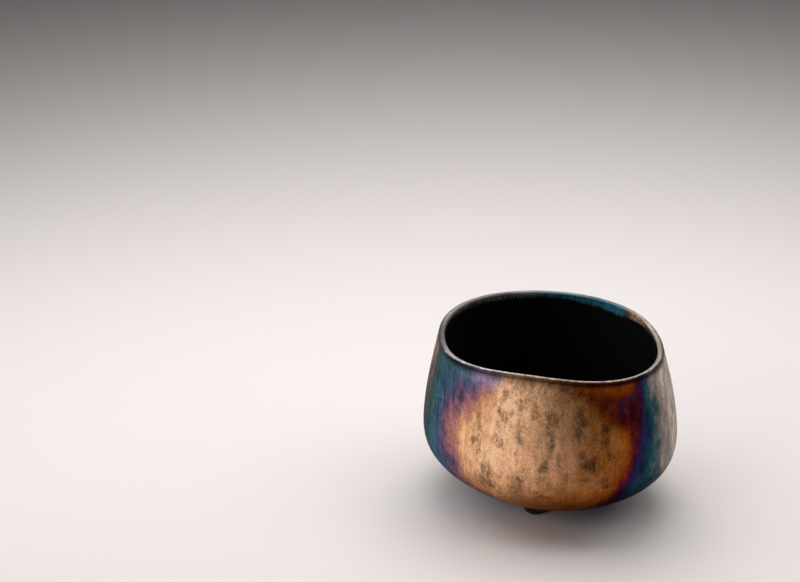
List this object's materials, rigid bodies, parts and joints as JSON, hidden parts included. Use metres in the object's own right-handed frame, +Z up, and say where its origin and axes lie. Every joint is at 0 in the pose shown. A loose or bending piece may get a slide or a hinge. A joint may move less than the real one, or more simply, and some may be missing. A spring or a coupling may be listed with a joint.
{
  "type": "tea bowl",
  "caption": "Hand-formed tea bowl with an irregular, gently waving lip, a rounded belly drawn in to small round feet, and iridescent outer, silvery lip and black inner glaze coats.",
  "frame": {"origin": "middle of the bowl's bounding box, on the surface that the feet stand on", "axes": "+Z up out of the bowl's mouth; -Y towards the side with the single front foot; +X to that side's right"},
  "size_m": [0.125, 0.125, 0.0845],
  "materials": {
    "clay": "matte fired clay",
    "outer_glaze": "metallic lustre, satin",
    "lip_glaze": "silvery lustre, satin",
    "inner_glaze": "matte black",
    "foot_glaze": "gloss black"
  },
  "bodies": {
    "root": {"clay_body": "clay", "outer_glaze": "outer_glaze", "lip_glaze": "lip_glaze", "inner_glaze": "inner_glaze", "foot_front": "foot_glaze", "foot_back_right": "foot_glaze", "foot_back_left": "foot_glaze"}
  },
  "joints": []
}
